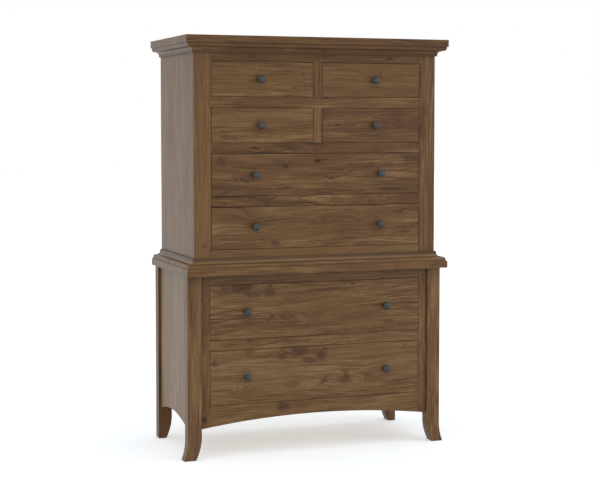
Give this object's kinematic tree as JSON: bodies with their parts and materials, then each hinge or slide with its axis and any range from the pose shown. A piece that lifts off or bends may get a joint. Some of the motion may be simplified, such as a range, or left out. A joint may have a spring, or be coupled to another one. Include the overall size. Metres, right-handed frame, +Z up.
{
  "type": "chest on chest",
  "caption": "Tall two-part chest of drawers with a cornice, a moulded waist, flared legs and an arched apron; the drawers slide out on wooden runners.",
  "frame": {"origin": "on the floor, under the middle of the top and waist boards", "axes": "+X to the viewer's right when facing the drawers, +Y to the back, +Z up"},
  "size_m": [1.111, 0.541, 1.653],
  "materials": {
    "stained_wood": "knotty hardwood, brown stain, satin lacquer",
    "inside_wood": "planed pale hardwood, thin clear sealer",
    "knob_metal": "dark pewter, satin"
  },
  "bodies": {
    "case": {"top_board": "stained_wood", "cornice_moulding": "stained_wood", "upper_side_left": "stained_wood", "upper_side_right": "stained_wood", "upper_back_panel": "inside_wood", "upper_stile_left": "stained_wood", "upper_stile_right": "stained_wood", "upper_top_rail": "stained_wood", "upper_kicker_frame": "inside_wood", "drawer_frame_row_1": "inside_wood", "drawer_frame_row_2": "inside_wood", "drawer_frame_row_3": "inside_wood", "upper_bottom_rail": "stained_wood", "upper_bottom_frame": "inside_wood", "divider_row_1": "stained_wood", "divider_row_2": "stained_wood", "waist_moulding": "stained_wood", "waist_board": "stained_wood", "leg_front_left": "stained_wood", "leg_front_right": "stained_wood", "leg_rear_left": "stained_wood", "leg_rear_right": "stained_wood", "lower_side_left": "stained_wood", "lower_side_right": "stained_wood", "lower_stile_left": "stained_wood", "lower_stile_right": "stained_wood", "lower_back_panel": "inside_wood", "lower_top_rail": "stained_wood", "lower_kicker_frame": "inside_wood", "drawer_frame_row_5": "inside_wood", "lower_bottom_frame": "inside_wood", "apron": "stained_wood"},
    "drawer_1_left": {"drawer_1_left_front": "stained_wood", "drawer_1_left_box": "inside_wood", "drawer_1_left_knob": "knob_metal"},
    "drawer_1_right": {"drawer_1_right_front": "stained_wood", "drawer_1_right_box": "inside_wood", "drawer_1_right_knob": "knob_metal"},
    "drawer_2_left": {"drawer_2_left_front": "stained_wood", "drawer_2_left_box": "inside_wood", "drawer_2_left_knob": "knob_metal"},
    "drawer_2_right": {"drawer_2_right_front": "stained_wood", "drawer_2_right_box": "inside_wood", "drawer_2_right_knob": "knob_metal"},
    "drawer_3": {"drawer_3_front": "stained_wood", "drawer_3_box": "inside_wood", "drawer_3_knob_left": "knob_metal", "drawer_3_knob_right": "knob_metal"},
    "drawer_4": {"drawer_4_front": "stained_wood", "drawer_4_box": "inside_wood", "drawer_4_knob_left": "knob_metal", "drawer_4_knob_right": "knob_metal"},
    "drawer_5": {"drawer_5_front": "stained_wood", "drawer_5_box": "inside_wood", "drawer_5_knob_left": "knob_metal", "drawer_5_knob_right": "knob_metal"},
    "drawer_6": {"drawer_6_front": "stained_wood", "drawer_6_box": "inside_wood", "drawer_6_knob_left": "knob_metal", "drawer_6_knob_right": "knob_metal"}
  },
  "joints": [
    {"name": "drawer_1_left_slide", "type": "slide", "parent": "case", "child": "drawer_1_left", "axis": [0, -1, 0], "range_m": [0, 0.33]},
    {"name": "drawer_1_right_slide", "type": "slide", "parent": "case", "child": "drawer_1_right", "axis": [0, -1, 0], "range_m": [0, 0.33]},
    {"name": "drawer_2_left_slide", "type": "slide", "parent": "case", "child": "drawer_2_left", "axis": [0, -1, 0], "range_m": [0, 0.33]},
    {"name": "drawer_2_right_slide", "type": "slide", "parent": "case", "child": "drawer_2_right", "axis": [0, -1, 0], "range_m": [0, 0.33]},
    {"name": "drawer_3_slide", "type": "slide", "parent": "case", "child": "drawer_3", "axis": [0, -1, 0], "range_m": [0, 0.33]},
    {"name": "drawer_4_slide", "type": "slide", "parent": "case", "child": "drawer_4", "axis": [0, -1, 0], "range_m": [0, 0.33]},
    {"name": "drawer_5_slide", "type": "slide", "parent": "case", "child": "drawer_5", "axis": [0, -1, 0], "range_m": [0, 0.33]},
    {"name": "drawer_6_slide", "type": "slide", "parent": "case", "child": "drawer_6", "axis": [0, -1, 0], "range_m": [0, 0.33]}
  ]
}
